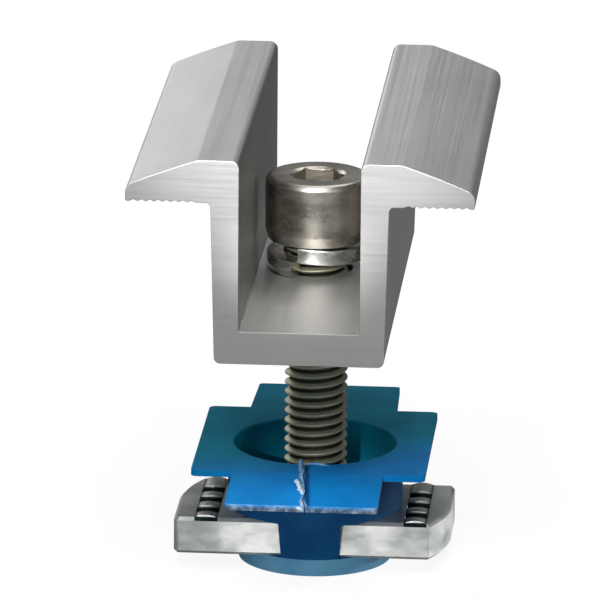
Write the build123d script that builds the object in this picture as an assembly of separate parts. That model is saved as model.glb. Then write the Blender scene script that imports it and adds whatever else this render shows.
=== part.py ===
from build123d import *
import math
import os

# Solar mid clamp: a screw draws a two-jawed aluminium clamp down onto the frames of two
# neighbouring modules, against a channel nut that hooks under the lips of a mounting rail.
# Millimetres. The origin is on the screw's axis, at the underside of the plastic retainer.
# +Z runs up the screw, X runs across the two jaws and along the nut, Y runs along the rail.

# Clearances
SEAT_GAP = 0.05        # between flat faces that rest on each other
RUNNING_GAP = 0.05     # radial, screw shank in the nut's thread
SHANK_GAP = 0.5        # radial, screw shank through the clamp and the retainer's base

# Screw: M8 x 40 socket cap screw
SHANK_DIAMETER = 7.9
SCREW_LENGTH = 40.0
TIP_CHAMFER = 0.8
HEAD_DIAMETER = 13.0
HEAD_HEIGHT = 8.0
HEAD_EDGE_RADIUS = 0.8
HEAD_BEVEL_HEIGHT = 1.3
HEAD_BEVEL_DEPTH = 0.35
SOCKET_ACROSS_FLATS = 6.0
SOCKET_DEPTH = 4.5
SOCKET_RIM_DIAMETER = 7.2

# Split spring washer under the head, left-hand helix, in its free state
WASHER_BORE_GAP = 0.15     # radial, over the shank
WASHER_SECTION_WIDTH = 2.15
WASHER_SECTION_HEIGHT = 2.0
WASHER_FREE_HEIGHT = 3.9
WASHER_SPLIT_ANGLE = 8.0
WASHER_SPLIT_DIRECTION = 243.0

# Clamp: an extruded U with two outward jaws
CLAMP_LENGTH = 60.0
CLAMP_HEIGHT = 25.4
CHANNEL_WIDTH = 14.7
FLOOR_THICKNESS = 4.1
BASE_WIDTH = 20.6
NECK_WIDTH = 21.6
JAW_SPAN = 42.2
JAW_SEAT_HEIGHT = 20.1     # underside of the jaws above the clamp's underside
JAW_TIP_HEIGHT = 1.95
JAW_BOW = 0.12             # how far the slope of each jaw bulges out from a straight line
JAW_FLAT_WIDTH = 5.0       # level top of each jaw beside the channel
TOP_INNER_RADIUS = 1.0
TOP_BREAK_RADIUS = 1.5     # between the level top and the slope
TIP_UPPER_RADIUS = 1.4
TIP_LOWER_RADIUS = 0.3
BASE_CORNER_RADIUS = 0.8
NECK_FILLET = 0.6
CHANNEL_FILLET = 0.3
SERRATION_PITCH = 1.0
SERRATION_DEPTH = 0.25
SERRATION_MARGIN = 0.5     # plain rim left at the jaw's tip
SERRATION_COUNT = 8

# Channel nut: two opposite corners rounded so that it turns inside the rail
NUT_LENGTH = 34.2
NUT_WIDTH = 17.0
NUT_THICKNESS = 4.7
NUT_EDGE_CHAMFER = 0.4
NUT_CORNER_RADIUS = 0.7
NUT_BORE_CHAMFER = 0.6
TOOTH_STRIP_GAP = 0.7      # from the retainer's barrel to the toothed strip
TOOTH_STRIP_WIDTH = 2.8
TOOTH_CROWN = 0.3          # rise of the strip above the nut's top
TOOTH_PITCH = 4.2
TOOTH_VALLEY_DEPTH = 0.55
TOOTH_VALLEY_RADIUS = 1.35
TOOTH_FIRST_OFFSET = 0.9   # first valley's centre in front of the nut's front edge
TOOTH_VALLEYS = 4

# Retainer: one moulding with a plate, a barrel, two legs and a base disc
BARREL_DIAMETER = 21.9
BARREL_WALL = 0.8
BASE_DISC_DIAMETER = 19.2
BASE_THICKNESS = 2.1
LEG_TOP_WIDTH = 7.8
LEG_FOOT_WIDTH = 7.0
LIP_SPACE = 7.1            # between the nut's top and the plate, for the rail's lip
PLATE_THICKNESS = 0.8
PLATE_WIDTH = 29.0
PLATE_DEPTH = 27.8
PLATE_CORNER_RADIUS = 0.8
TAB_LENGTH = 10.7
TAB_ROOT_WIDTH = 18.6
BACK_TAB_TIP_WIDTH = 18.0
FRONT_TAB_TIP_WIDTH = 18.8  # wider, because the split lets its two halves spread
TAB_CORNER_RADIUS = 0.5
FRONT_TAB_DROOP = 0.9      # the front tab is bent down by this much at its tip
TAB_BEND_RADIUS = 8.0
RIM_RADIUS = 0.3
CRACK_WIDTH = 0.16         # split that runs from the bore through the front tab
CRACK_RIM_SIDE = -0.6      # its place beside the screw's axis, at the bore's rim
CRACK_TIP_SIDE = 0.5       # and at the front tab's tip
CRACK_WANDER = 0.25
CHIP_SIZE = 0.9

# Stack height of the open clamp
CLAMP_LIFT = 18.5          # from the retainer's plate to the clamp's underside

# Worked out from the sizes above
shank_radius = SHANK_DIAMETER / 2
barrel_radius = BARREL_DIAMETER / 2
barrel_bore_radius = barrel_radius - BARREL_WALL
nut_bottom = BASE_THICKNESS + SEAT_GAP
nut_top = nut_bottom + NUT_THICKNESS
barrel_bottom = nut_top + SEAT_GAP
plate_bottom = nut_top + LIP_SPACE
plate_top = plate_bottom + PLATE_THICKNESS
clamp_bottom = plate_top + CLAMP_LIFT
washer_bottom = clamp_bottom + FLOOR_THICKNESS + SEAT_GAP
head_bottom = washer_bottom + WASHER_FREE_HEIGHT + SEAT_GAP
head_top = head_bottom + HEAD_HEIGHT
tip_bottom = head_bottom - SCREW_LENGTH


def vertices_at(shape, places):
    """The vertices of a sketch that lie at the given X, Y places."""
    found = []
    for x, y in places:
        found.append(shape.vertices().sort_by_distance(Vector(x, y, 0))[0])
    return found


def upright(section, length):
    """Extrude a section drawn in X and Z by a length that is centred on Y = 0."""
    return extrude(Plane.XZ * section, amount=length / 2, both=True)


def make_cap_screw():
    head_radius = HEAD_DIAMETER / 2
    with_bevel = head_radius - HEAD_BEVEL_DEPTH
    outline = Polyline(
        (0, tip_bottom),
        (shank_radius - TIP_CHAMFER, tip_bottom),
        (shank_radius, tip_bottom + TIP_CHAMFER),
        (shank_radius, head_bottom),
        (with_bevel, head_bottom),
        (head_radius, head_bottom + HEAD_BEVEL_HEIGHT),
        (head_radius, head_top),
        (0, head_top),
        (0, tip_bottom),
    )
    half = make_face(outline)
    half = fillet(vertices_at(half, [(head_radius, head_top)]), HEAD_EDGE_RADIUS)
    screw = revolve(Plane.XZ * half, axis=Axis.Z)
    hexagon = RegularPolygon(SOCKET_ACROSS_FLATS / 2, 6, major_radius=False)
    socket_floor = head_top - SOCKET_DEPTH
    screw -= Pos(0, 0, socket_floor) * extrude(hexagon, SOCKET_DEPTH)
    rim_radius = SOCKET_RIM_DIAMETER / 2
    rim = Cone(0, rim_radius, rim_radius / 2, align=(Align.CENTER, Align.CENTER, Align.MAX))
    screw -= Pos(0, 0, head_top) * rim
    return screw


def make_spring_washer():
    inner = shank_radius + WASHER_BORE_GAP
    middle = inner + WASHER_SECTION_WIDTH / 2
    turn = (360 - WASHER_SPLIT_ANGLE) / 360
    rise = WASHER_FREE_HEIGHT - WASHER_SECTION_HEIGHT
    path = Helix(pitch=rise / turn, height=rise, radius=middle, lefthand=True)
    section = Plane.XZ * Pos(middle, 0) * Rectangle(WASHER_SECTION_WIDTH, WASHER_SECTION_HEIGHT)
    coil = sweep(section, path=path, is_frenet=True)
    place = Pos(0, 0, washer_bottom + WASHER_SECTION_HEIGHT / 2)
    return place * Rot(0, 0, WASHER_SPLIT_DIRECTION) * coil


def serrations():
    """The V grooves under both jaws, as a sketch in X and Z."""
    last = JAW_SPAN / 2 - SERRATION_MARGIN
    grooves = []
    for number in range(SERRATION_COUNT):
        right = last - number * SERRATION_PITCH
        middle = right - SERRATION_PITCH / 2
        left = right - SERRATION_PITCH
        groove = make_face(
            Polyline(
                (left, JAW_SEAT_HEIGHT),
                (middle, JAW_SEAT_HEIGHT + SERRATION_DEPTH),
                (right, JAW_SEAT_HEIGHT),
                (left, JAW_SEAT_HEIGHT),
            )
        )
        grooves.append(groove)
        grooves.append(mirror(groove, about=Plane.YZ))
    return grooves


def make_mid_clamp():
    inner = CHANNEL_WIDTH / 2
    tip = JAW_SPAN / 2
    neck = NECK_WIDTH / 2
    flat_end = inner + JAW_FLAT_WIDTH
    tip_top = JAW_SEAT_HEIGHT + JAW_TIP_HEIGHT
    outline = Polyline(
        (flat_end, CLAMP_HEIGHT),
        (inner, CLAMP_HEIGHT),
        (inner, FLOOR_THICKNESS),
        (0, FLOOR_THICKNESS),
        (0, 0),
        (BASE_WIDTH / 2, 0),
        (neck, JAW_SEAT_HEIGHT),
        (tip, JAW_SEAT_HEIGHT),
        (tip, tip_top),
    )
    slope = SagittaArc((flat_end, CLAMP_HEIGHT), (tip, tip_top), JAW_BOW)
    half = make_face(outline.edges() + slope.edges())
    half = fillet(vertices_at(half, [(flat_end, CLAMP_HEIGHT)]), TOP_BREAK_RADIUS)
    half = fillet(vertices_at(half, [(tip, tip_top)]), TIP_UPPER_RADIUS)
    half = fillet(vertices_at(half, [(tip, JAW_SEAT_HEIGHT)]), TIP_LOWER_RADIUS)
    half = fillet(vertices_at(half, [(inner, CLAMP_HEIGHT)]), TOP_INNER_RADIUS)
    half = fillet(vertices_at(half, [(BASE_WIDTH / 2, 0)]), BASE_CORNER_RADIUS)
    half = fillet(vertices_at(half, [(neck, JAW_SEAT_HEIGHT)]), NECK_FILLET)
    half = fillet(vertices_at(half, [(inner, FLOOR_THICKNESS)]), CHANNEL_FILLET)
    section = half + mirror(half, about=Plane.YZ)
    section -= serrations()
    clamp = Pos(0, 0, clamp_bottom) * upright(section, CLAMP_LENGTH)
    bore = Cylinder(shank_radius + SHANK_GAP, FLOOR_THICKNESS * 3)
    return clamp - Pos(0, 0, clamp_bottom) * bore


def nut_outline():
    """The nut's plan: a rectangle with two opposite corners turned to the end faces' reach."""
    quarter = Rectangle(NUT_LENGTH / 2, NUT_WIDTH / 2, align=(Align.MIN, Align.MIN))
    swept = Circle(NUT_LENGTH / 2) + quarter + Rot(0, 0, 180) * quarter
    plan = Rectangle(NUT_LENGTH, NUT_WIDTH) & swept
    sharp = [(NUT_LENGTH / 2, NUT_WIDTH / 2), (-NUT_LENGTH / 2, -NUT_WIDTH / 2)]
    return fillet(vertices_at(plan, sharp), NUT_CORNER_RADIUS)


def toothed_strip(side):
    """The crowned strip on one end of the nut, with the valleys that cut it into teeth."""
    place_x = side * (barrel_radius + TOOTH_STRIP_GAP + TOOTH_STRIP_WIDTH / 2)
    crown_radius = (TOOTH_STRIP_WIDTH**2 / 4 + TOOTH_CROWN**2) / (2 * TOOTH_CROWN)
    length = NUT_WIDTH - 2 * NUT_EDGE_CHAMFER
    rod = Rot(90, 0, 0) * Cylinder(crown_radius, length)
    rod = Pos(place_x, 0, nut_top + TOOTH_CROWN - crown_radius) * rod
    keep = Box(TOOTH_STRIP_WIDTH * 2, NUT_WIDTH, TOOTH_CROWN * 4)
    crown = rod & Pos(place_x, 0, nut_top + TOOTH_CROWN) * keep
    valleys = []
    first = -NUT_WIDTH / 2 - TOOTH_FIRST_OFFSET
    height = nut_top - TOOTH_VALLEY_DEPTH + TOOTH_VALLEY_RADIUS
    cutter = Rot(0, 90, 0) * Cylinder(TOOTH_VALLEY_RADIUS, TOOTH_STRIP_WIDTH)
    for number in range(TOOTH_VALLEYS):
        valleys.append(Pos(place_x, first + number * TOOTH_PITCH, height) * cutter)
    return crown, valleys


def make_channel_nut():
    nut = extrude(nut_outline(), NUT_THICKNESS)
    top_edges = nut.faces().sort_by(Axis.Z)[-1].edges()
    bottom_edges = nut.faces().sort_by(Axis.Z)[0].edges()
    nut = chamfer(top_edges + bottom_edges, NUT_EDGE_CHAMFER)
    nut = Pos(0, 0, nut_bottom) * nut
    for side in (-1, 1):
        crown, valleys = toothed_strip(side)
        nut = nut + crown - valleys
    bore_radius = shank_radius + RUNNING_GAP
    nut -= Pos(0, 0, nut_bottom + NUT_THICKNESS / 2) * Cylinder(bore_radius, NUT_THICKNESS * 2)
    mouth = Cone(bore_radius, bore_radius + NUT_BORE_CHAMFER, NUT_BORE_CHAMFER)
    nut -= Pos(0, 0, nut_top - NUT_BORE_CHAMFER / 2) * mouth
    nut -= Pos(0, 0, nut_bottom + NUT_BORE_CHAMFER / 2) * Rot(180, 0, 0) * mouth
    return nut


def tab_outline(side, tip_width):
    """The plan of one tab, from inside the plate's edge to its tip."""
    root = side * PLATE_DEPTH / 2
    tip = root + side * TAB_LENGTH
    inside = side * barrel_radius
    corners = [(-tip_width / 2, tip), (tip_width / 2, tip)]
    outline = make_face(
        Polyline(
            (-TAB_ROOT_WIDTH / 2, inside),
            (TAB_ROOT_WIDTH / 2, inside),
            (TAB_ROOT_WIDTH / 2, root),
            (tip_width / 2, tip),
            (-tip_width / 2, tip),
            (-TAB_ROOT_WIDTH / 2, root),
            (-TAB_ROOT_WIDTH / 2, inside),
        )
    )
    return fillet(vertices_at(outline, corners), TAB_CORNER_RADIUS)


def front_tab():
    """The front tab, bent down from the plate's edge over a soft radius."""
    inside = barrel_radius
    root = PLATE_DEPTH / 2
    tip = root + TAB_LENGTH
    band = make_face(
        Polyline(
            (-inside, 0),
            (-root, 0),
            (-tip - TAB_LENGTH, -2 * FRONT_TAB_DROOP),
            (-tip - TAB_LENGTH, -2 * FRONT_TAB_DROOP - PLATE_THICKNESS),
            (-root, -PLATE_THICKNESS),
            (-inside, -PLATE_THICKNESS),
            (-inside, 0),
        )
    )
    bends = vertices_at(band, [(-root, 0), (-root, -PLATE_THICKNESS)])
    band = fillet(bends, TAB_BEND_RADIUS)
    strip = extrude(Plane.YZ * band, amount=PLATE_WIDTH, both=True)
    reach = TAB_LENGTH + PLATE_THICKNESS
    prism = extrude(tab_outline(-1, FRONT_TAB_TIP_WIDTH), amount=reach, both=True)
    return Pos(0, 0, plate_top) * (strip & prism)


def make_legs():
    """Front and back legs past the nut, tapering in to the rim of the base disc."""
    foot = BASE_DISC_DIAMETER / 2
    inner = NUT_WIDTH / 2 + SEAT_GAP
    mantle = make_face(
        Polyline(
            (0, 0),
            (foot, 0),
            (foot, BASE_THICKNESS),
            (barrel_radius, barrel_bottom),
            (barrel_radius, plate_bottom),
            (0, plate_bottom),
            (0, 0),
        )
    )
    body = revolve(Plane.XZ * mantle, axis=Axis.Z)
    side = make_face(
        Polyline(
            (-LEG_FOOT_WIDTH / 2, 0),
            (LEG_FOOT_WIDTH / 2, 0),
            (LEG_TOP_WIDTH / 2, barrel_bottom),
            (-LEG_TOP_WIDTH / 2, barrel_bottom),
            (-LEG_FOOT_WIDTH / 2, 0),
        )
    )
    stave = upright(side, BARREL_DIAMETER)
    gap = Box(LEG_TOP_WIDTH * 2, inner * 2, barrel_bottom * 2)
    return (body & stave) - gap


def make_well():
    """The space inside the barrel, which flares out at the plate with a rounded rim."""
    flare = barrel_bore_radius + 2 * RIM_RADIUS
    above = plate_top + RIM_RADIUS
    section = make_face(
        Polyline(
            (0, barrel_bottom),
            (barrel_bore_radius, barrel_bottom),
            (barrel_bore_radius, plate_top),
            (flare, plate_top),
            (flare, above),
            (0, above),
            (0, barrel_bottom),
        )
    )
    section = fillet(vertices_at(section, [(barrel_bore_radius, plate_top)]), RIM_RADIUS)
    return revolve(Plane.XZ * section, axis=Axis.Z)


def crack_cutters():
    """A ragged split from the bore's rim to the front tab's edge, and a chip at each end."""
    start = -barrel_bore_radius + BARREL_WALL
    end = -PLATE_DEPTH / 2 - TAB_LENGTH - BARREL_WALL
    steps = 6
    left = []
    right = []
    for number in range(steps + 1):
        y = start + (end - start) * number / steps
        slant = (CRACK_TIP_SIDE - CRACK_RIM_SIDE) * number / steps
        x = CRACK_RIM_SIDE + slant + CRACK_WANDER * math.sin(number * 2.2)
        left.append((x - CRACK_WIDTH / 2, y))
        right.append((x + CRACK_WIDTH / 2, y))
    split = make_face(Polyline(left + right[::-1] + left[:1]))
    depth = PLATE_THICKNESS + FRONT_TAB_DROOP + RIM_RADIUS
    cutters = [Pos(0, 0, plate_top - depth) * extrude(split, depth * 2)]
    rim_y = -math.sqrt(barrel_bore_radius**2 - CRACK_RIM_SIDE**2)
    tip_y = -PLATE_DEPTH / 2 - TAB_LENGTH
    chip = Rot(45, 45, 0) * Box(CHIP_SIZE, CHIP_SIZE, CHIP_SIZE)
    cutters.append(Pos(CRACK_RIM_SIDE, rim_y, plate_top + CHIP_SIZE / 3) * chip)
    tip_height = plate_top - FRONT_TAB_DROOP + CHIP_SIZE / 3
    cutters.append(Pos(CRACK_TIP_SIDE, tip_y, tip_height) * chip)
    return cutters


def make_plastic_retainer():
    square = RectangleRounded(PLATE_WIDTH, PLATE_DEPTH, PLATE_CORNER_RADIUS)
    plan = square + tab_outline(1, BACK_TAB_TIP_WIDTH)
    plate = Pos(0, 0, plate_bottom) * extrude(plan, PLATE_THICKNESS)
    barrel = Cylinder(
        barrel_radius,
        plate_bottom - barrel_bottom,
        align=(Align.CENTER, Align.CENTER, Align.MIN),
    )
    retainer = plate + front_tab() + Pos(0, 0, barrel_bottom) * barrel - make_well()
    base = Cylinder(
        BASE_DISC_DIAMETER / 2,
        BASE_THICKNESS,
        align=(Align.CENTER, Align.CENTER, Align.MIN),
    )
    base -= Cylinder(shank_radius + SHANK_GAP, BASE_THICKNESS * 3)
    retainer = retainer + make_legs() + base
    return retainer - crack_cutters()


PIECES = {
    "mid_clamp": make_mid_clamp,
    "cap_screw": make_cap_screw,
    "spring_washer": make_spring_washer,
    "plastic_retainer": make_plastic_retainer,
    "channel_nut": make_channel_nut,
}

os.makedirs("parts", exist_ok=True)
for name, make in PIECES.items():
    export_step(make(), f"parts/{name}.step")
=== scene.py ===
import math
import random

import bmesh
import bpy
from mathutils import Matrix, Vector
from mathutils.geometry import interpolate_bezier


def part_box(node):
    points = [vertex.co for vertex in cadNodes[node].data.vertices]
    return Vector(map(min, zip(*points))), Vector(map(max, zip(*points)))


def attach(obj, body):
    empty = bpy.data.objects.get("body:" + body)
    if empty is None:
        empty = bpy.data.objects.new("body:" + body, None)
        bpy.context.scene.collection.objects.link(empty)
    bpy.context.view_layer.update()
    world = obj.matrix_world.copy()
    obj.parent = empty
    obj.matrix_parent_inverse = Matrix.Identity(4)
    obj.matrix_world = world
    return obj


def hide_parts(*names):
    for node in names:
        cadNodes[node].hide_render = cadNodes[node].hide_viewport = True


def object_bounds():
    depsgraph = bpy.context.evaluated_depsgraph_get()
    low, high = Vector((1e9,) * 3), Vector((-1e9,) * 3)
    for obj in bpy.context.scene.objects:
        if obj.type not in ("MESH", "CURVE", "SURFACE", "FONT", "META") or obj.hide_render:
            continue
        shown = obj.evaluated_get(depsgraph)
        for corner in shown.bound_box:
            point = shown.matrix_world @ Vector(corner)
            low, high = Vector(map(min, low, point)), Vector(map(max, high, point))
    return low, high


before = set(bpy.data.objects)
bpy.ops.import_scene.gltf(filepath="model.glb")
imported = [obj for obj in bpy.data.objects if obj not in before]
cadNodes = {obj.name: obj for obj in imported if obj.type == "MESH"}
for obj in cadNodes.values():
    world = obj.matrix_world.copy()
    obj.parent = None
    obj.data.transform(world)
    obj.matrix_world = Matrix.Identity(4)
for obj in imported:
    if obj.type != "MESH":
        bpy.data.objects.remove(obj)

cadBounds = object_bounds()
mm = 0.001


def linearColour(hexText):
    channels = []
    for start in (0, 2, 4):
        value = int(hexText[start:start + 2], 16) / 255
        channels.append(value / 12.92 if value <= 0.04045 else ((value + 0.055) / 1.055) ** 2.4)
    return (*channels, 1.0)


def addNode(tree, kind, settings=None, inputs=None):
    # an input takes a number or colour, an output socket, or a node's first output; a Mix
    # node of colours has its factor at 0, its colours at 6 and 7, and its blend at output 2
    node = tree.nodes.new(kind)
    for name, value in (settings or {}).items():
        setattr(node, name, value)
    for key, value in (inputs or {}).items():
        if isinstance(value, bpy.types.Node):
            value = value.outputs[0]
        if isinstance(value, bpy.types.NodeSocket):
            tree.links.new(value, node.inputs[key])
        else:
            node.inputs[key].default_value = value
    return node


def newMaterial(name):
    material = bpy.data.materials.new(name)
    material.use_nodes = True
    material.node_tree.nodes.clear()
    return material, material.node_tree


def showSurface(tree, shader):
    addNode(tree, "ShaderNodeOutputMaterial", inputs={"Surface": shader})


def patternNoise(tree, sizeInMm, detail, roughness=0.5, distortion=0.0):
    # noise on object coordinates, with one blotch about as large as the given real size
    place = addNode(tree, "ShaderNodeTexCoord").outputs["Object"]
    scaled = addNode(tree, "ShaderNodeMapping", inputs={
        "Vector": place, "Scale": [1 / (size * mm) for size in sizeInMm]})
    return addNode(tree, "ShaderNodeTexNoise", inputs={
        "Vector": scaled, "Scale": 1.0, "Detail": detail, "Roughness": roughness,
        "Distortion": distortion}).outputs["Fac"]


def twoToned(tree, pattern, tones, low, high):
    # two tones of one colour, blended where a pattern runs from the low to the high value
    spread = addNode(tree, "ShaderNodeMapRange", inputs={
        "Value": pattern, "From Min": low, "From Max": high})
    return addNode(tree, "ShaderNodeMix", {"data_type": "RGBA"}, {
        0: spread, 6: linearColour(tones[0]), 7: linearColour(tones[1])}).outputs[2]


def unevenRoughness(tree, pattern, ends):
    return addNode(tree, "ShaderNodeMapRange", inputs={
        "Value": pattern, "From Min": 0.3, "From Max": 0.7, "To Min": ends[0],
        "To Max": ends[1]})


def addPiece(name, mesh):
    piece = bpy.data.objects.new(name, mesh)
    bpy.context.scene.collection.objects.link(piece)
    return piece


# camera, floor and light

cameraSet = {
    "azimuth": 4.24,          # degrees round from the front, towards the right jaw
    "elevation": 15.9,        # degrees above the floor
    "roll": 0.4,
    "distance": 0.978,        # metres
    "lens": 471.0,            # mm, on a 36 mm sensor
    "lookAt": (-0.0021, 0.0, 0.0330),
}


def placeCamera():
    azimuth = math.radians(cameraSet["azimuth"])
    elevation = math.radians(cameraSet["elevation"])
    back = Vector((
        math.sin(azimuth) * math.cos(elevation),
        -math.cos(azimuth) * math.cos(elevation),
        math.sin(elevation),
    ))
    right = Vector((0, 0, 1)).cross(back).normalized()
    up = back.cross(right)
    roll = math.radians(cameraSet["roll"])
    rolledRight = right * math.cos(roll) + up * math.sin(roll)
    rolledUp = up * math.cos(roll) - right * math.sin(roll)
    turn = Matrix((rolledRight, rolledUp, back)).transposed().to_4x4()
    data = bpy.data.cameras.new("camera")
    data.lens = cameraSet["lens"]
    data.sensor_width = 36.0
    data.clip_start = 0.01
    data.clip_end = 20.0
    camera = addPiece("camera", data)
    camera.matrix_world = Matrix.Translation(
        Vector(cameraSet["lookAt"]) + back * cameraSet["distance"]) @ turn
    bpy.context.scene.camera = camera


softboxes = {
    # name: (place, aimed at, width, height, power in watts)
    "backSoftbox": ((-0.50, 0.80, 0.42), (0, 0, 0.04), 0.45, 0.40, 1.25),
    "backHighSoftbox": ((0.10, 0.55, 0.80), (0, 0, 0.04), 0.50, 0.40, 1.2),
    "topSoftbox": ((0.0, 0.0, 1.0), (0, 0, 0.04), 0.50, 0.50, 1.2),
    "frontHighSoftbox": ((0.0, -0.55, 0.80), (0, 0, 0.04), 0.50, 0.40, 4.5),
    "frontLowSoftbox": ((0.0, -0.95, 0.12), (0, 0, 0.02), 0.50, 0.20, 0.35),
    "rightSoftbox": ((0.60, -0.65, 0.30), (0, 0, 0.03), 0.30, 0.40, 0.9),
}

spots = {
    # name: (place, aimed at, cone in degrees, power in watts); narrow and soft-edged
    "jawSpot": ((-0.10, -0.80, 0.36), (0.0, -0.03, 0.073), 4.6, 34.0),
    "nutSpot": ((-0.10, -0.78, 0.25), (0.0, -0.01, -0.003), 3.2, 26.0),
    "rimSpot": ((0.70, 0.30, 0.10), (0.016, -0.003, 0.003), 1.8, 20.0),
    "channelSpot": ((-0.30, -0.75, 0.13), (0.0065, -0.014, 0.045), 1.1, 22.0),
}

worldSet = {
    "lightColour": "E4E5E7",
    "lightStrength": 0.5,      # what lights matt surfaces
    "backStrength": 1.0,       # what the camera sees
    "mirrorStrength": 0.30,    # what metal and plastic mirror of it
    "darkSide": 0.1,           # share of both that is left on the side away from the light
}

floorSet = {
    "size": 6.0,
    "colour": "707070",
    "lift": 0.87,              # makes the floor white for the camera, and keeps the shadow
    "mirrorLift": 0.04,
}


def aimAt(light, place, aim):
    light.location = place
    light.rotation_euler = (Vector(aim) - Vector(place)).to_track_quat("-Z", "Y").to_euler()


def placeLights():
    for name, (place, aim, width, height, power) in softboxes.items():
        data = bpy.data.lights.new(name, "AREA")
        data.shape = "RECTANGLE"
        data.size = width
        data.size_y = height
        data.energy = power
        aimAt(addPiece(name, data), place, aim)
    for name, (place, aim, cone, power) in spots.items():
        data = bpy.data.lights.new(name, "SPOT")
        data.energy = power
        data.spot_size = math.radians(cone)
        data.spot_blend = 1.0
        data.shadow_soft_size = 0.005
        aimAt(addPiece(name, data), place, aim)


def mirroredOnly(tree, path):
    # 1 for the rays that a shiny or clear surface sends out
    return addNode(tree, "ShaderNodeMath", {"operation": "MAXIMUM"}, {
        0: path.outputs["Is Glossy Ray"], 1: path.outputs["Is Transmission Ray"]})


def paintWorld():
    world = bpy.data.worlds.new("studio")
    world.use_nodes = True
    tree = world.node_tree
    tree.nodes.clear()
    # the studio is brighter towards the left softbox and darker away from it
    direction = addNode(tree, "ShaderNodeTexCoord").outputs["Generated"]
    towards = addNode(tree, "ShaderNodeVectorMath", {"operation": "DOT_PRODUCT"}, {
        0: direction, 1: Vector((-0.85, 0.15, 0.5)).normalized()}).outputs["Value"]
    shade = addNode(tree, "ShaderNodeMapRange", inputs={
        "Value": towards, "From Min": -0.9, "From Max": 0.9,
        "To Min": worldSet["darkSide"], "To Max": 1.0})
    lit = addNode(tree, "ShaderNodeMath", {"operation": "MULTIPLY"}, {
        0: shade, 1: worldSet["lightStrength"]})
    mirrored = addNode(tree, "ShaderNodeMath", {"operation": "MULTIPLY"}, {
        0: shade, 1: worldSet["mirrorStrength"]})
    colour = linearColour(worldSet["lightColour"])
    light = addNode(tree, "ShaderNodeBackground", inputs={"Color": colour, "Strength": lit})
    mirror = addNode(tree, "ShaderNodeBackground", inputs={
        "Color": colour, "Strength": mirrored})
    back = addNode(tree, "ShaderNodeBackground", inputs={
        "Color": (1, 1, 1, 1), "Strength": worldSet["backStrength"]})
    path = addNode(tree, "ShaderNodeLightPath")
    unseen = addNode(tree, "ShaderNodeMixShader", inputs={
        0: mirroredOnly(tree, path), 1: light, 2: mirror})
    seen = addNode(tree, "ShaderNodeMixShader", inputs={
        0: path.outputs["Is Camera Ray"], 1: unseen, 2: back})
    addNode(tree, "ShaderNodeOutputWorld", inputs={"Surface": seen})
    bpy.context.scene.world = world


def layFloor():
    half = floorSet["size"] / 2
    level = cadBounds[0][2]
    mesh = bpy.data.meshes.new("floor")
    mesh.from_pydata([(-half, -half, level), (half, -half, level), (half, half, level),
                      (-half, half, level)], [], [(0, 1, 2, 3)])
    floor = addPiece("floor", mesh)
    material, tree = newMaterial("matt_paper_floor")
    paper = addNode(tree, "ShaderNodeBsdfDiffuse", inputs={
        "Color": linearColour(floorSet["colour"])})
    path = addNode(tree, "ShaderNodeLightPath")
    seen = addNode(tree, "ShaderNodeMath", {"operation": "MULTIPLY"}, {
        0: path.outputs["Is Camera Ray"], 1: floorSet["lift"]})
    lift = addNode(tree, "ShaderNodeMath", {"operation": "MULTIPLY_ADD"}, {
        0: mirroredOnly(tree, path), 1: floorSet["mirrorLift"], 2: seen})
    glow = addNode(tree, "ShaderNodeEmission", inputs={"Strength": lift})
    showSurface(tree, addNode(tree, "ShaderNodeAddShader", inputs={0: paper, 1: glow}))
    mesh.materials.append(material)


placeCamera()
placeLights()
paintWorld()
layFloor()
bpy.context.scene.view_settings.view_transform = "Standard"
print("camera, light and floor placed")


# making plain meshes from Geometry Nodes trees and from the CAD nodes

def newGeometryTree(name, sizes):
    tree = bpy.data.node_groups.new(name, "GeometryNodeTree")
    for title, value in sizes.items():
        kind = "NodeSocketInt" if isinstance(value, int) else "NodeSocketFloat"
        tree.interface.new_socket(name=title, in_out="INPUT", socket_type=kind)
    tree.interface.new_socket(name="Finish", in_out="INPUT", socket_type="NodeSocketMaterial")
    tree.interface.new_socket(name="Geometry", in_out="OUTPUT", socket_type="NodeSocketGeometry")
    return tree, addNode(tree, "NodeGroupInput").outputs


def endGeometryTree(tree, given, geometry):
    real = addNode(tree, "GeometryNodeRealizeInstances", inputs={0: geometry})
    painted = addNode(tree, "GeometryNodeSetMaterial", inputs={
        "Geometry": real, "Material": given["Finish"]})
    addNode(tree, "NodeGroupOutput", inputs={0: painted})


def growPiece(name, tree, sizes, finish):
    piece = addPiece(name, bpy.data.meshes.new(name))
    modifier = piece.modifiers.new(name, "NODES")
    modifier.node_group = tree
    values = {**sizes, "Finish": finish}
    for item in tree.interface.items_tree:
        if item.item_type == "SOCKET" and item.in_out == "INPUT":
            modifier[item.identifier] = values[item.name]
    return bakeModifiers(piece)


def bakeModifiers(piece):
    grown = piece.evaluated_get(bpy.context.evaluated_depsgraph_get())
    mesh = bpy.data.meshes.new_from_object(grown)
    piece.modifiers.clear()
    piece.data = mesh
    return piece


def smoothByAngle(mesh, degrees):
    # smooth shading, with a hard line where two faces meet at more than the angle
    form = bmesh.new()
    form.from_mesh(mesh)
    for face in form.faces:
        face.smooth = True
    for edge in form.edges:
        edge.smooth = edge.calc_face_angle(math.pi) < math.radians(degrees)
    form.to_mesh(mesh)
    form.free()


def outerRim(edge):
    # an edge that a piece shows at the rim of a flat side
    steep = sorted(abs(face.normal.z) for face in edge.link_faces)
    return len(steep) == 2 and steep[0] < 0.5 and steep[1] > 0.9


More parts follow.
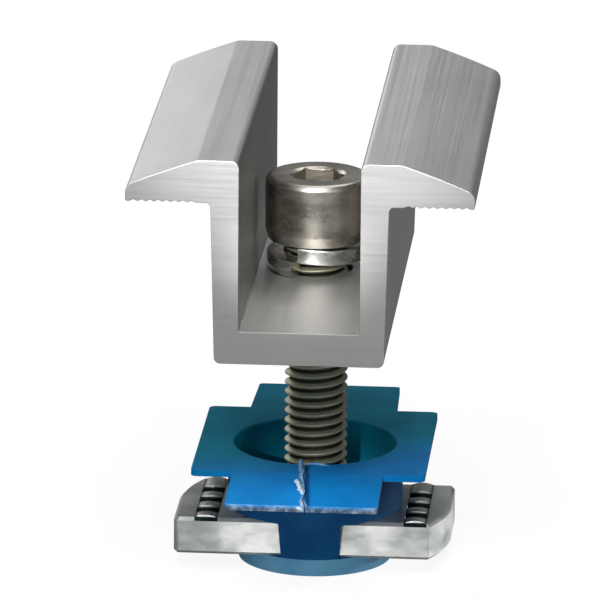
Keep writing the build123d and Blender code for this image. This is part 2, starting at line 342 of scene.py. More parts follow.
def dressedCopy(nodeName, pieceName, finish, dress, keepAbove=None):
    # a CAD node's own form, merged, with its hard edges broken as a real part's are
    form = bmesh.new()
    form.from_mesh(cadNodes[nodeName].data)
    bmesh.ops.remove_doubles(form, verts=form.verts, dist=0.0005 * mm)
    if keepAbove is not None:
        everything = form.verts[:] + form.edges[:] + form.faces[:]
        cut = bmesh.ops.bisect_plane(form, geom=everything, plane_co=(0, 0, keepAbove),
                                     plane_no=(0, 0, 1), clear_inner=True)
        rim = [item for item in cut["geom_cut"] if isinstance(item, bmesh.types.BMEdge)]
        bmesh.ops.holes_fill(form, edges=rim)
    bmesh.ops.dissolve_limit(form, angle_limit=math.radians(dress["flatAngle"]),
                             verts=form.verts, edges=form.edges, delimit={"NORMAL"})
    worn = form.faces.layers.float.new("worn")
    hard = [edge for edge in form.edges if dress["breaks"](edge)]
    broken = bmesh.ops.bevel(form, geom=hard, offset=dress["edge"], segments=2, profile=0.6,
                             affect="EDGES", clamp_overlap=True)
    for face in broken["faces"]:
        face[worn] = 1.0
    mesh = bpy.data.meshes.new(pieceName)
    form.to_mesh(mesh)
    form.free()
    mesh.materials.append(finish)
    smoothByAngle(mesh, dress["smoothAngle"])
    piece = addPiece(pieceName, mesh)
    # large flat faces keep their own direction, and only the broken edges shade round
    piece.modifiers.new("evenShading", "WEIGHTED_NORMAL").keep_sharp = True
    return bakeModifiers(piece)


# clamp: extruded aluminium

clampSet = {
    "flatAngle": 0.5,
    "breaks": lambda edge: edge.calc_face_angle(0) > math.radians(35),
    "edge": 0.12 * mm,
    "smoothAngle": 32,
    "lineSpacing": 0.25,      # mm between die lines
    "colour": ("CDCDCB", "DADAD8"),
    "sawnColour": ("E0E0DE", "E8E8E6"),
    "sawnDepth": 0.06 * mm,   # how far in from each end the saw marks go
    "roughness": (0.42, 0.52),
    "channelReach": 7.6 * mm,
    "channelPaintedShade": 0.5,      # painted shade: brightness of the channel's walls beside the rest
}


def makeExtrudedAluminium():
    # mill-finish aluminium: matt silver with fine die lines along its length, painted shade
    # on the channel's walls, and cut ends that carry the finer marks of a saw across them
    material, tree = newMaterial("extruded_aluminium")
    spacing = clampSet["lineSpacing"]
    dieLines = patternNoise(tree, (spacing, 45, spacing), 3.0, 0.6)
    sawMarks = patternNoise(tree, (14, 14, 0.3), 3.0, 0.6)
    cloud = patternNoise(tree, (9, 26, 9), 3.0)
    coordinates = addNode(tree, "ShaderNodeTexCoord").outputs
    place = addNode(tree, "ShaderNodeSeparateXYZ", inputs={0: coordinates["Object"]})
    facing = addNode(tree, "ShaderNodeSeparateXYZ", inputs={0: coordinates["Normal"]})
    fromMiddle = addNode(tree, "ShaderNodeMath", {"operation": "ABSOLUTE"}, {
        0: place.outputs["Y"]})
    sawn = addNode(tree, "ShaderNodeMath", {"operation": "GREATER_THAN"}, {
        0: fromMiddle, 1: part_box("mid_clamp")[1].y - clampSet["sawnDepth"]})
    lines = addNode(tree, "ShaderNodeMix", inputs={0: sawn, 2: dieLines, 3: sawMarks})
    whole = addNode(tree, "ShaderNodeMix", {"data_type": "RGBA"}, {
        0: sawn, 6: twoToned(tree, cloud, clampSet["colour"], 0.3, 0.7),
        7: twoToned(tree, cloud, clampSet["sawnColour"], 0.3, 0.7)})
    # painted shade: the channel's side walls are darkened
    aside = addNode(tree, "ShaderNodeMath", {"operation": "ABSOLUTE"}, {
        0: place.outputs["X"]})
    within = addNode(tree, "ShaderNodeMath", {"operation": "LESS_THAN"}, {
        0: aside, 1: clampSet["channelReach"]})
    sideways = addNode(tree, "ShaderNodeMath", {"operation": "ABSOLUTE"}, {
        0: facing.outputs["X"]})
    wall = addNode(tree, "ShaderNodeMath", {"operation": "MULTIPLY"}, {0: within, 1: sideways})
    shade = addNode(tree, "ShaderNodeMapRange", inputs={
        "Value": wall, "From Min": 0.2, "From Max": 0.9,
        "To Min": 1.0, "To Max": clampSet["channelPaintedShade"]})
    colour = addNode(tree, "ShaderNodeMix", {"data_type": "RGBA", "blend_type": "MULTIPLY"}, {
        0: 1.0, 6: whole.outputs[2], 7: shade})
    bump = addNode(tree, "ShaderNodeBump", inputs={
        "Strength": 0.3, "Distance": 0.015 * mm, "Height": lines})
    showSurface(tree, addNode(tree, "ShaderNodeBsdfPrincipled", inputs={
        "Base Color": colour.outputs[2], "Metallic": 1.0,
        "Roughness": unevenRoughness(tree, lines, clampSet["roughness"]),
        "Normal": bump}))
    return material


clampExtrusion = dressedCopy("mid_clamp", "clampExtrusion", makeExtrudedAluminium(), clampSet)
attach(clampExtrusion, "clamp")
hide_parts("mid_clamp")
print("clamp:", len(clampExtrusion.data.polygons), "faces")


# screw: socket head and M8 thread

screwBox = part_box("cap_screw")
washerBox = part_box("spring_washer")
headGap = 0.05 * mm         # between the washer's high end and the head
headUnderside = washerBox[1].z + headGap

threadSizes = {
    "Pitch": 1.25 * mm,
    "Crest Radius": 3.93 * mm,
    "Root Radius": 3.25 * mm,
    "Tip Height": screwBox[0].z,
    "Top Height": headUnderside - 0.2 * mm,
    "Tip Radius": 3.15 * mm,
    "Rows": 620,
    "Around": 96,
}


def onHeadBevel(edge):
    # where the head's straight side meets its bevelled foot
    rise = headUnderside + screwSet["bevelHeight"]
    level = all(abs(vertex.co.z - rise) < 0.05 * mm for vertex in edge.verts)
    return level and edge.calc_face_angle(0) > math.radians(4)


screwSet = {
    "flatAngle": 0.5,
    "breaks": lambda edge: edge.calc_face_angle(0) > math.radians(25) or onHeadBevel(edge),
    "edge": 0.1 * mm,
    "bevelHeight": 1.3 * mm,  # of the foot of the head
    "smoothAngle": 32,
    "threadSmoothAngle": 50,
    "colour": ("B9B1A5", "D0CBC1"),
    "roughness": (0.22, 0.36),
    "threadColour": "C6C5AE",
    "threadRoughness": 0.6,
    "rootShadeColour": "34362A",
    "rootShadeDepth": 0.25 * mm,    # how far the painted shade reaches up from the roots
}


def makePolishedStainless():
    # cold-headed stainless steel, tumbled bright: clear reflections with a warm grey tone
    # and soft smears from the tumbling, over a duller thread with painted shade in its roots
    material, tree = newMaterial("polished_stainless")
    smear = patternNoise(tree, (5, 5, 2.2), 3.0, 0.6)
    ripple = patternNoise(tree, (2.6, 2.6, 3.4), 2.0)
    colour = twoToned(tree, smear, screwSet["colour"], 0.35, 0.65)
    place = addNode(tree, "ShaderNodeSeparateXYZ", inputs={
        0: addNode(tree, "ShaderNodeTexCoord").outputs["Object"]}).outputs
    level = addNode(tree, "ShaderNodeCombineXYZ", inputs={"X": place["X"], "Y": place["Y"]})
    radius = addNode(tree, "ShaderNodeVectorMath", {"operation": "LENGTH"}, {
        0: level}).outputs["Value"]
    onShank = addNode(tree, "ShaderNodeMath", {"operation": "LESS_THAN"}, {
        0: place["Z"], 1: headUnderside - 0.1 * mm})
    # painted shade: the thread darkens towards its roots
    rootShaded = addNode(tree, "ShaderNodeMapRange", inputs={
        "Value": radius, "From Min": threadSizes["Root Radius"] + 0.02 * mm,
        "From Max": threadSizes["Root Radius"] + screwSet["rootShadeDepth"],
        "To Min": 1.0, "To Max": 0.0})
    thread = addNode(tree, "ShaderNodeMix", {"data_type": "RGBA"}, {
        0: rootShaded, 6: linearColour(screwSet["threadColour"]),
        7: linearColour(screwSet["rootShadeColour"])})
    whole = addNode(tree, "ShaderNodeMix", {"data_type": "RGBA"}, {
        0: onShank, 6: colour, 7: thread.outputs[2]})
    finish = addNode(tree, "ShaderNodeMix", inputs={
        0: onShank, 2: unevenRoughness(tree, smear, screwSet["roughness"]),
        3: screwSet["threadRoughness"]})
    bump = addNode(tree, "ShaderNodeBump", inputs={
        "Strength": 0.3, "Distance": 0.05 * mm, "Height": ripple})
    showSurface(tree, addNode(tree, "ShaderNodeBsdfPrincipled", inputs={
        "Base Color": whole.outputs[2], "Metallic": 1.0, "Roughness": finish,
        "Normal": bump}))
    return material


def makeThreadTree(sizes):
    tree, given = newGeometryTree("rolledThread", sizes)
    span = addNode(tree, "ShaderNodeMath", {"operation": "SUBTRACT"}, {
        0: given["Top Height"], 1: given["Tip Height"]})
    tube = addNode(tree, "GeometryNodeMeshCylinder", {"fill_type": "NGON"}, {
        "Vertices": given["Around"], "Side Segments": given["Rows"],
        "Radius": given["Crest Radius"], "Depth": span})
    middle = addNode(tree, "ShaderNodeMath", {"operation": "MULTIPLY_ADD"}, {
        0: span, 1: 0.5, 2: given["Tip Height"]})
    lifted = addNode(tree, "GeometryNodeTransform", inputs={
        "Geometry": tube, "Translation": addNode(tree, "ShaderNodeCombineXYZ", inputs={
            "Z": middle})})
    at = addNode(tree, "ShaderNodeSeparateXYZ", inputs={
        0: addNode(tree, "GeometryNodeInputPosition")}).outputs
    turn = addNode(tree, "ShaderNodeMath", {"operation": "ARCTAN2"}, {
        0: at["Y"], 1: at["X"]})
    rise = addNode(tree, "ShaderNodeMath", {"operation": "DIVIDE"}, {
        0: at["Z"], 1: given["Pitch"]})
    # how far along the profile a point lies: a crest at 0.5, a root at 0 and 1
    wound = addNode(tree, "ShaderNodeMath", {"operation": "MULTIPLY_ADD"}, {
        0: turn, 1: -0.5 / math.pi, 2: rise})
    phase = addNode(tree, "ShaderNodeMath", {"operation": "FRACT"}, {0: wound})
    centred = addNode(tree, "ShaderNodeMath", {"operation": "SUBTRACT"}, {0: phase, 1: 0.5})
    fromCrest = addNode(tree, "ShaderNodeMath", {"operation": "ABSOLUTE"}, {0: centred})
    # an eighth of the pitch is flat crest, and the flanks lie at 60 degrees to each other
    beyond = addNode(tree, "ShaderNodeMath", {"operation": "SUBTRACT"}, {
        0: fromCrest, 1: 1 / 16})
    down = addNode(tree, "ShaderNodeMath", {"operation": "MULTIPLY"}, {
        0: beyond, 1: given["Pitch"]})
    flank = addNode(tree, "ShaderNodeMath", {"operation": "MULTIPLY_ADD"}, {
        0: down, 1: -math.sqrt(3), 2: given["Crest Radius"]})
    root = addNode(tree, "ShaderNodeMath", {"operation": "SMOOTH_MAX"}, {
        0: flank, 1: given["Root Radius"], 2: 0.12 * mm})
    crest = addNode(tree, "ShaderNodeMath", {"operation": "SMOOTH_MIN"}, {
        0: root, 1: given["Crest Radius"], 2: 0.1 * mm})
    # the tip is chamfered at 45 degrees
    fromTip = addNode(tree, "ShaderNodeMath", {"operation": "SUBTRACT"}, {
        0: at["Z"], 1: given["Tip Height"]})
    cone = addNode(tree, "ShaderNodeMath", {"operation": "ADD"}, {
        0: fromTip, 1: given["Tip Radius"]})
    radius = addNode(tree, "ShaderNodeMath", {"operation": "MINIMUM"}, {0: crest, 1: cone})
    cosine = addNode(tree, "ShaderNodeMath", {"operation": "COSINE"}, {0: turn})
    sine = addNode(tree, "ShaderNodeMath", {"operation": "SINE"}, {0: turn})
    place = addNode(tree, "ShaderNodeCombineXYZ", inputs={
        "X": addNode(tree, "ShaderNodeMath", {"operation": "MULTIPLY"}, {0: cosine, 1: radius}),
        "Y": addNode(tree, "ShaderNodeMath", {"operation": "MULTIPLY"}, {0: sine, 1: radius}),
        "Z": at["Z"]})
    formed = addNode(tree, "GeometryNodeSetPosition", inputs={
        "Geometry": lifted, "Position": place})
    endGeometryTree(tree, given, formed)
    return tree


polishedStainless = makePolishedStainless()
screwThread = growPiece("screwThread", makeThreadTree(threadSizes), threadSizes,
                        polishedStainless)
smoothByAngle(screwThread.data, screwSet["threadSmoothAngle"])
neckDepth = 0.3 * mm        # of plain shank kept under the head, into the thread's top
screwHead = dressedCopy("cap_screw", "screwHead", polishedStainless, screwSet,
                        keepAbove=headUnderside - neckDepth)
for piece in (screwThread, screwHead):
    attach(piece, "screw")
    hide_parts("cap_screw")
print("screw:", len(screwThread.data.polygons), "thread faces,",
      len(screwHead.data.polygons), "head faces")


# split spring washer

washerSet = {
    "width": 2.15 * mm,
    "thickness": 2.0 * mm,
    "split": 8,               # degrees left open
    "smoothAngle": 40,
    "colour": ("C9C8C4", "E6E5E2"),
    "roughness": (0.18, 0.3),
}

washerSizes = {
    "Middle Radius": (washerBox[1].x - washerBox[0].x - washerSet["width"]) / 2,
    "Width": washerSet["width"],
    "Thickness": washerSet["thickness"],
    "Edge Radius": 0.28 * mm,
    "Turns": (360 - washerSet["split"]) / 360,
    "Rise": washerBox[1].z - washerBox[0].z - washerSet["thickness"],
    "Split Direction": math.radians(243),
    "Foot": washerBox[0].z + washerSet["thickness"] / 2,
    "Steps": 120,
}


def makeSpringSteel():
    # rolled spring steel, bright plated: a white gleam over a slightly drawn surface
    material, tree = newMaterial("bright_spring_steel")
    grain = patternNoise(tree, (1.6, 1.6, 0.5), 3.0, 0.6)
    bump = addNode(tree, "ShaderNodeBump", inputs={
        "Strength": 0.3, "Distance": 0.03 * mm, "Height": grain})
    showSurface(tree, addNode(tree, "ShaderNodeBsdfPrincipled", inputs={
        "Base Color": twoToned(tree, grain, washerSet["colour"], 0.3, 0.7),
        "Metallic": 1.0, "Roughness": unevenRoughness(tree, grain, washerSet["roughness"]),
        "Normal": bump}))
    return material


def makeWasherTree(sizes):
    tree, given = newGeometryTree("splitWasher", sizes)
    coil = addNode(tree, "GeometryNodeCurveSpiral", inputs={
        "Resolution": given["Steps"], "Rotations": given["Turns"],
        "Start Radius": given["Middle Radius"], "End Radius": given["Middle Radius"],
        "Height": given["Rise"], "Reverse": False})
    level = addNode(tree, "GeometryNodeSetCurveNormal", {"mode": "Z_UP"}, {"Curve": coil})
    bar = addNode(tree, "GeometryNodeCurvePrimitiveQuadrilateral", inputs={
        "Width": given["Width"], "Height": given["Thickness"]})
    rounded = addNode(tree, "GeometryNodeFilletCurve", {"mode": "POLY"}, {
        "Curve": bar, "Radius": given["Edge Radius"], "Count": 4})
    wound = addNode(tree, "GeometryNodeCurveToMesh", inputs={
        "Curve": level, "Profile Curve": rounded, "Fill Caps": True})
    placed = addNode(tree, "GeometryNodeTransform", inputs={
        "Geometry": wound,
        "Translation": addNode(tree, "ShaderNodeCombineXYZ", inputs={"Z": given["Foot"]}),
        "Rotation": addNode(tree, "ShaderNodeCombineXYZ", inputs={
            "Z": given["Split Direction"]})})
    endGeometryTree(tree, given, placed)
    return tree


springWasher = growPiece("springWasher", makeWasherTree(washerSizes), washerSizes,
                         makeSpringSteel())
smoothByAngle(springWasher.data, washerSet["smoothAngle"])
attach(springWasher, "lock_washer")
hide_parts("spring_washer")
print("washer:", len(springWasher.data.polygons), "faces")


# retainer: blue plastic moulding, split and torn at its front tab

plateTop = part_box("plastic_retainer")[1].z

splitSet = {
    "rim": (-0.6 * mm, -10.1 * mm),   # x and y where the split leaves the barrel's mouth
    "tip": (0.5 * mm, -24.6 * mm),    # and where it ends, at the front tab's edge
    "depth": 2.6 * mm,                # of the marks beside it, under the plate's top
    "grooveAside": 0.25 * mm,         # how far the painted shadow lies to its right
    "whiteAside": 0.35 * mm,          # and the whitening to its left
}

sliverSet = {
    "seed": 7,
    "rings": 11,
    "around": 7,
    "uneven": (0.7, 1.15),    # least and most of its thickness at a point
    "smoothAngle": 35,
    "whiteness": 6.0,         # torn plastic is white all over
}

slivers = {
    # name: (four points that it bends along, width, height, and how far its bulk lies towards
    # its start); all in mm
    "rimBurr": (
        ((-1.2, -9.7, 14.5), (-1.1, -10.8, 14.9), (-1.0, -12.0, 14.8), (-0.9, -13.5, 14.6)),
        0.75, 1.9, 0.6),
    "leftFlake": (
        ((-1.3, -16.9, 14.3), (-1.2, -17.6, 15.1), (-0.9, -18.4, 15.2), (-0.3, -19.3, 14.3)),
        0.7, 0.6, 1.0),
    "rightFlake": (
        ((-0.5, -17.0, 14.4), (-0.9, -17.9, 15.0), (-0.9, -19.0, 14.9), (-0.2, -20.0, 14.1)),
        0.6, 0.5, 1.2),
    "lowerFlake": (
        ((-1.0, -19.0, 14.1), (-0.4, -19.6, 14.7), (-0.2, -20.5, 14.5), (0.1, -21.4, 13.8)),
        0.55, 0.4, 0.8),
    "tipChip": (
        ((-0.7, -24.45, 13.4), (-0.4, -24.6, 13.7), (-0.1, -24.6, 13.6), (0.3, -24.5, 13.2)),
        0.4, 0.5, 1.0),
    "mouthLip": (
        ((-0.9, -10.25, 14.7), (0.2, -10.5, 15.0), (1.7, -10.5, 15.1), (2.9, -10.6, 14.5)),
        0.35, 0.4, 1.0),
}


def splitSide(y):
    # how far to the side the split runs at a given depth
    rimSide, rimDepth = splitSet["rim"]
    tipSide, tipDepth = splitSet["tip"]
    return rimSide + (tipSide - rimSide) * (y - rimDepth) / (tipDepth - rimDepth)


def mouldedRim(edge):
    # the barrel's mouth is round already, and the split's edges stay as they broke
    middle = (edge.verts[0].co + edge.verts[1].co) / 2
    outside = math.hypot(middle.x, middle.y) > retainerSet["mouthRadius"]
    foot = middle.z < 0.1 * mm
    split = middle.y < 0 and abs(middle.x - splitSide(middle.y)) < 1.0 * mm
    return outerRim(edge) and (outside or foot) and not split


retainerSet = {
    "flatAngle": 0.5,
    "breaks": mouldedRim,
    "edge": 0.12 * mm,
    "smoothAngle": 32,
    "mouthRadius": 11.1 * mm,     # the barrel's rounded mouth lies within it
    "barrelInside": 10.5 * mm,    # a radius inside the barrel's wall
    "barrelFoot": 7 * mm,
    "discTop": 2.1 * mm,
    "tabRoot": -14.2 * mm,        # where the front tab leaves the plate
    "dimming": (-10 * mm, 4 * mm),   # depths where the film and painted shade start and are full
    "filmWander": 9 * mm,
    "filmLean": -0.45,            # it reaches further forward on the left
    "shade": (5 * mm, 2 * mm),    # under the plate's top, where the shade starts and is full
    "cleanAndLit": ("067CC6", "0C8CDC"),
    "filmAndShade": ("06708C", "0B86A4"),
    "low": ("062F52", "0A3C64"),
    "disc": ("3E6A86", "4E7A94"),
    "white": ("8FB4D6", "D8E6F2"),
    "groove": "04386C",
    "shaded": "030F2A",
}


def makeMouldedPolyamide():
    # injection-moulded blue polyamide: satin, painted brighter on the flexed front tab and
    # darker towards the back, part greenish film and part painted shade, with painted shade
    # under the plate, dusty on the base disc, and stress-whitened where it has torn
    material, tree = newMaterial("moulded_polyamide")
    flow = patternNoise(tree, (6, 6, 6), 3.0)
    grain = patternNoise(tree, (0.35, 0.35, 0.35), 3.0, 0.6)
    ragged = patternNoise(tree, (0.9, 1.6, 0.9), 4.0, 0.65)
    place = addNode(tree, "ShaderNodeSeparateXYZ", inputs={
        0: addNode(tree, "ShaderNodeTexCoord").outputs["Object"]}).outputs
    tones = {name: twoToned(tree, flow, retainerSet[name], 0.3, 0.7)
             for name in ("cleanAndLit", "filmAndShade", "low", "disc", "white")}
    # painted shade and film: the plate darkens and dulls towards the back, and the front tab is
    # painted brighter
    slanted = addNode(tree, "ShaderNodeMath", {"operation": "MULTIPLY_ADD"}, {
        0: place["X"], 1: retainerSet["filmLean"], 2: place["Y"]})
    filmed = addNode(tree, "ShaderNodeMath", {"operation": "MULTIPLY_ADD"}, {
        0: flow, 1: retainerSet["filmWander"], 2: slanted})
    dimming = addNode(tree, "ShaderNodeMapRange", inputs={
        "Value": filmed, "From Min": retainerSet["dimming"][0],
        "From Max": retainerSet["dimming"][1]})
    upper = addNode(tree, "ShaderNodeMix", {"data_type": "RGBA"}, {
        0: dimming, 6: tones["cleanAndLit"], 7: tones["filmAndShade"]})
    # painted shade: the barrel's outside, the legs and the base disc are darker, darkest just
    # under the plate
    underPlate = addNode(tree, "ShaderNodeMapRange", inputs={
        "Value": place["Z"], "From Min": plateTop - 1.4 * mm,
        "From Max": plateTop - 0.9 * mm, "To Min": 1.0, "To Max": 0.0})
    level = addNode(tree, "ShaderNodeCombineXYZ", inputs={"X": place["X"], "Y": place["Y"]})
    radius = addNode(tree, "ShaderNodeVectorMath", {"operation": "LENGTH"}, {
        0: level}).outputs["Value"]
    outer = addNode(tree, "ShaderNodeMath", {"operation": "GREATER_THAN"}, {
        0: radius, 1: retainerSet["barrelInside"]})
    belowBarrel = addNode(tree, "ShaderNodeMath", {"operation": "LESS_THAN"}, {
        0: place["Z"], 1: retainerSet["barrelFoot"]})
    either = addNode(tree, "ShaderNodeMath", {"operation": "MAXIMUM"}, {
        0: outer, 1: belowBarrel})
    paintedShadeBelow = addNode(tree, "ShaderNodeMath", {"operation": "MULTIPLY"}, {
        0: underPlate, 1: either})
    onDisc = addNode(tree, "ShaderNodeMath", {"operation": "LESS_THAN"}, {
        0: place["Z"], 1: retainerSet["discTop"]})
    lower = addNode(tree, "ShaderNodeMix", {"data_type": "RGBA"}, {
        0: onDisc, 6: tones["low"], 7: tones["disc"]})
    # painted shadow: darkest just under the plate's top
    sheltered = addNode(tree, "ShaderNodeMapRange", inputs={
        "Value": place["Z"], "From Min": plateTop - retainerSet["shade"][0],
        "From Max": plateTop - retainerSet["shade"][1], "To Min": 0.0, "To Max": 0.75})
    under = addNode(tree, "ShaderNodeMix", {"data_type": "RGBA"}, {
        0: sheltered, 6: lower.outputs[2], 7: linearColour(retainerSet["shaded"])})
    body = addNode(tree, "ShaderNodeMix", {"data_type": "RGBA"}, {
        0: paintedShadeBelow, 6: upper.outputs[2], 7: under.outputs[2]})
    # a painted shadow runs to the right of the split, and patches of whitening to its left
    splitLine = addNode(tree, "ShaderNodeMapRange", inputs={
        "Value": place["Y"], "From Min": splitSet["tip"][1], "From Max": splitSet["rim"][1],
        "To Min": splitSet["tip"][0], "To Max": splitSet["rim"][0]})
    aside = addNode(tree, "ShaderNodeMath", {"operation": "SUBTRACT"}, {
        0: place["X"], 1: splitLine})
    inFront = addNode(tree, "ShaderNodeMath", {"operation": "LESS_THAN"}, {
        0: place["Y"], 1: splitSet["rim"][1] + 0.6 * mm})
    high = addNode(tree, "ShaderNodeMath", {"operation": "GREATER_THAN"}, {
        0: place["Z"], 1: plateTop - splitSet["depth"]})
    there = addNode(tree, "ShaderNodeMath", {"operation": "MULTIPLY"}, {0: inFront, 1: high})
    shadowOffset = addNode(tree, "ShaderNodeMath", {"operation": "SUBTRACT"}, {
        0: aside, 1: splitSet["grooveAside"]})
    fromShadow = addNode(tree, "ShaderNodeMath", {"operation": "ABSOLUTE"}, {0: shadowOffset})
    grooved = addNode(tree, "ShaderNodeMapRange", inputs={
        "Value": fromShadow, "From Min": 0.15 * mm, "From Max": 0.5 * mm,
        "To Min": 0.85, "To Max": 0.0})
    groove = addNode(tree, "ShaderNodeMath", {"operation": "MULTIPLY"}, {
        0: grooved, 1: there})
    withShadow = addNode(tree, "ShaderNodeMix", {"data_type": "RGBA"}, {
        0: groove, 6: body.outputs[2], 7: linearColour(retainerSet["groove"])})
    raised = addNode(tree, "ShaderNodeMath", {"operation": "ADD"}, {
        0: aside, 1: splitSet["whiteAside"]})
    apart = addNode(tree, "ShaderNodeMath", {"operation": "ABSOLUTE"}, {0: raised})
    wavy = addNode(tree, "ShaderNodeMath", {"operation": "MULTIPLY_ADD"}, {
        0: ragged, 1: 1.8 * mm, 2: apart})
    near = addNode(tree, "ShaderNodeMapRange", inputs={
        "Value": wavy, "From Min": 0.8 * mm, "From Max": 1.2 * mm,
        "To Min": 0.9, "To Max": 0.0})
    torn = addNode(tree, "ShaderNodeMath", {"operation": "MULTIPLY"}, {0: near, 1: there})
    # painted highlight and scuffing: the broken rims pale slightly, most of all round the front
    # tab
    onTab = addNode(tree, "ShaderNodeMapRange", inputs={
        "Value": place["Y"], "From Min": retainerSet["tabRoot"] - 0.4 * mm,
        "From Max": retainerSet["tabRoot"] + 0.4 * mm, "To Min": 1.0, "To Max": 0.2})
    patchy = addNode(tree, "ShaderNodeMapRange", inputs={
        "Value": ragged, "From Min": 0.4, "From Max": 0.62, "To Min": 0.2, "To Max": 0.75})
    rimGlintsAndScuffs = addNode(tree, "ShaderNodeMath", {"operation": "MULTIPLY"}, {
        0: onTab, 1: patchy})
    glintedAndScuffed = addNode(tree, "ShaderNodeMath", {"operation": "MULTIPLY", "use_clamp": True}, {
        0: addNode(tree, "ShaderNodeAttribute", {"attribute_name": "worn"}).outputs["Fac"],
        1: rimGlintsAndScuffs})
    # the front tab's cut sides are painted pale: part fraying, part painted light
    facing = addNode(tree, "ShaderNodeSeparateXYZ", inputs={
        0: addNode(tree, "ShaderNodeTexCoord").outputs["Normal"]})
    turned = addNode(tree, "ShaderNodeMath", {"operation": "ABSOLUTE"}, {
        0: facing.outputs["Z"]})
    upright = addNode(tree, "ShaderNodeMath", {"operation": "LESS_THAN"}, {0: turned, 1: 0.5})
    tabHigh = addNode(tree, "ShaderNodeMath", {"operation": "MULTIPLY"}, {
        0: upright, 1: high})
    beyond = addNode(tree, "ShaderNodeMath", {"operation": "LESS_THAN"}, {
        0: place["Y"], 1: retainerSet["tabRoot"]})
    sides = addNode(tree, "ShaderNodeMath", {"operation": "MULTIPLY"}, {
        0: tabHigh, 1: beyond})
    fraysAndLight = addNode(tree, "ShaderNodeMapRange", inputs={
        "Value": ragged, "From Min": 0.45, "From Max": 0.68, "To Min": 0.1, "To Max": 0.5})
    frayedAndLit = addNode(tree, "ShaderNodeMath", {"operation": "MULTIPLY"}, {
        0: sides, 1: fraysAndLight})
    worst = addNode(tree, "ShaderNodeMath", {"operation": "MAXIMUM"}, {0: torn, 1: glintedAndScuffed})
    pale = addNode(tree, "ShaderNodeMath", {"operation": "MAXIMUM"}, {0: worst, 1: frayedAndLit})
    colour = addNode(tree, "ShaderNodeMix", {"data_type": "RGBA"}, {
        0: pale, 6: withShadow.outputs[2], 7: tones["white"]})
    rough = addNode(tree, "ShaderNodeMapRange", inputs={
        "Value": dimming, "To Min": 0.42, "To Max": 0.7})
    bump = addNode(tree, "ShaderNodeBump", inputs={
        "Strength": 0.25, "Distance": 0.03 * mm, "Height": grain})
    showSurface(tree, addNode(tree, "ShaderNodeBsdfPrincipled", inputs={
        "Base Color": colour.outputs[2], "Roughness": rough, "IOR": 1.53,
        "Specular IOR Level": 0.08, "Subsurface Weight": 0.15,
        "Subsurface Radius": (0.3, 0.6, 1.0), "Subsurface Scale": 0.8 * mm,
        "Normal": bump}))
    return material


def addSliver(form, chance, bends, width, height, lead):
    # a torn sliver along a bend, fullest towards its start, and drawn to a point at both ends
    line = interpolate_bezier(*[Vector(point) * mm for point in bends], sliverSet["rings"])
    around = sliverSet["around"]
    rings = []
    for step in range(1, len(line) - 1):
        along = (line[step + 1] - line[step - 1]).normalized()
        side = along.cross(Vector((0, 0, 1))).normalized()
        rise = side.cross(along)
        full = math.sin(math.pi * (step / (len(line) - 1)) ** lead)
        ring = []
        for number in range(around):
            angle = 2 * math.pi * number / around
            out = side * (math.cos(angle) * width) + rise * (math.sin(angle) * height)
            place = line[step] + out * (0.5 * mm * full * chance.uniform(*sliverSet["uneven"]))
            ring.append(form.verts.new(place))
        rings.append(ring)
    for first, second in zip(rings, rings[1:]):
        for number in range(around):
            after = (number + 1) % around
            form.faces.new((first[number], first[after], second[after], second[number]))
    for ring, point in ((rings[0], line[0]), (rings[-1], line[-1])):
        end = form.verts.new(point)
        for number in range(around):
            form.faces.new((ring[number], ring[(number + 1) % around], end))


def tearSlivers(finish):
    # what stands up beside the split: closed slivers of torn plastic, all in one piece
    form = bmesh.new()
    worn = form.faces.layers.float.new("worn")
    chance = random.Random(sliverSet["seed"])
    for bends, width, height, lead in slivers.values():
        addSliver(form, chance, bends, width, height, lead)
    bmesh.ops.recalc_face_normals(form, faces=form.faces[:])
    bmesh.ops.triangulate(form, faces=form.faces[:])
    for face in form.faces:
        face[worn] = sliverSet["whiteness"]
    mesh = bpy.data.meshes.new("tornSlivers")
    form.to_mesh(mesh)
    form.free()
    mesh.materials.append(finish)
    smoothByAngle(mesh, sliverSet["smoothAngle"])
    return addPiece("tornSlivers", mesh)


mouldedPolyamide = makeMouldedPolyamide()
retainerMoulding = dressedCopy("plastic_retainer", "retainerMoulding", mouldedPolyamide,
                               retainerSet)
tornSlivers = tearSlivers(mouldedPolyamide)
for piece in (retainerMoulding, tornSlivers):
    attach(piece, "rail_grip")
    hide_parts("plastic_retainer")
print("retainer:", len(retainerMoulding.data.polygons), "faces and",
      len(tornSlivers.data.polygons), "on its torn slivers")


# channel nut: zinc-plated steel

nutSet = {
    "flatAngle": 0.5,
    "breaks": lambda edge: edge.calc_face_angle(0) > math.radians(28),
    "edge": 0.18 * mm,
    "smoothAngle": 40,
    "colour": ("D0D5D2", "F0F2EF"),
    "paintedShade": "1F2C28",
    "topPaintedShade": 0.4,             # how far the painted shade darkens the top
    "roughness": (0.36, 0.5),
    "toothRise": 0.3 * mm,       # of the teeth above the top
    "brightRise": 0.26 * mm,      # and of what the painted shade leaves bright
    "stripMiddle": 13.05 * mm,   # of each toothed strip, beside the screw's axis
    "stripHalf": 1.4 * mm,
}

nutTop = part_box("channel_nut")[1].z - nutSet["toothRise"]


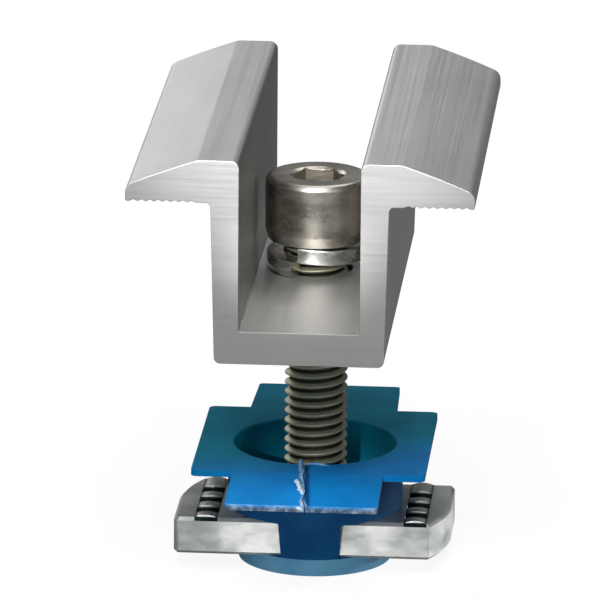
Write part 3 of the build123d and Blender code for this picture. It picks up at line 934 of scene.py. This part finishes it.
def makeZincPlate():
    # pressed steel, bright zinc plated: pale grey, slightly lumpy, with cloudy patches, and
    # with dark green painted shade down in the teeth and over the top
    material, tree = newMaterial("bright_zinc_plate")
    lumps = patternNoise(tree, (2.2, 2.2, 2.2), 4.0, 0.55)
    patches = patternNoise(tree, (5, 5, 3), 3.0, 0.6)
    colour = twoToned(tree, patches, nutSet["colour"], 0.35, 0.65)
    coordinates = addNode(tree, "ShaderNodeTexCoord").outputs
    place = addNode(tree, "ShaderNodeSeparateXYZ", inputs={0: coordinates["Object"]}).outputs
    facing = addNode(tree, "ShaderNodeSeparateXYZ", inputs={0: coordinates["Normal"]})
    aside = addNode(tree, "ShaderNodeMath", {"operation": "ABSOLUTE"}, {0: place["X"]})
    fromStrip = addNode(tree, "ShaderNodeMath", {"operation": "SUBTRACT"}, {
        0: aside, 1: nutSet["stripMiddle"]})
    off = addNode(tree, "ShaderNodeMath", {"operation": "ABSOLUTE"}, {0: fromStrip})
    onStrip = addNode(tree, "ShaderNodeMapRange", inputs={
        "Value": off, "From Min": nutSet["stripHalf"],
        "From Max": nutSet["stripHalf"] + 0.15 * mm, "To Min": 1.0, "To Max": 0.0})
    # painted shade: dark in the teeth's valleys, and partly over the whole upward-facing top
    deep = addNode(tree, "ShaderNodeMapRange", inputs={
        "Value": place["Z"], "From Min": nutTop, "From Max": nutTop + nutSet["brightRise"],
        "To Min": 1.0, "To Max": 0.0})
    upward = addNode(tree, "ShaderNodeMath", {"operation": "GREATER_THAN"}, {
        0: facing.outputs["Z"], 1: 0.15})
    valley = addNode(tree, "ShaderNodeMath", {"operation": "MULTIPLY"}, {
        0: onStrip, 1: deep})
    dimming = addNode(tree, "ShaderNodeMath", {"operation": "MAXIMUM"}, {
        0: valley, 1: nutSet["topPaintedShade"]})
    paintedShading = addNode(tree, "ShaderNodeMath", {"operation": "MULTIPLY"}, {
        0: dimming, 1: upward})
    whole = addNode(tree, "ShaderNodeMix", {"data_type": "RGBA"}, {
        0: paintedShading, 6: colour, 7: linearColour(nutSet["paintedShade"])})
    bump = addNode(tree, "ShaderNodeBump", inputs={
        "Strength": 0.5, "Distance": 0.1 * mm, "Height": lumps})
    showSurface(tree, addNode(tree, "ShaderNodeBsdfPrincipled", inputs={
        "Base Color": whole.outputs[2], "Metallic": 1.0,
        "Roughness": unevenRoughness(tree, patches, nutSet["roughness"]),
        "Normal": bump}))
    return material


channelNut = dressedCopy("channel_nut", "channelNut", makeZincPlate(), nutSet)
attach(channelNut, "rail_grip")
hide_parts("channel_nut")
print("nut:", len(channelNut.data.polygons), "faces")
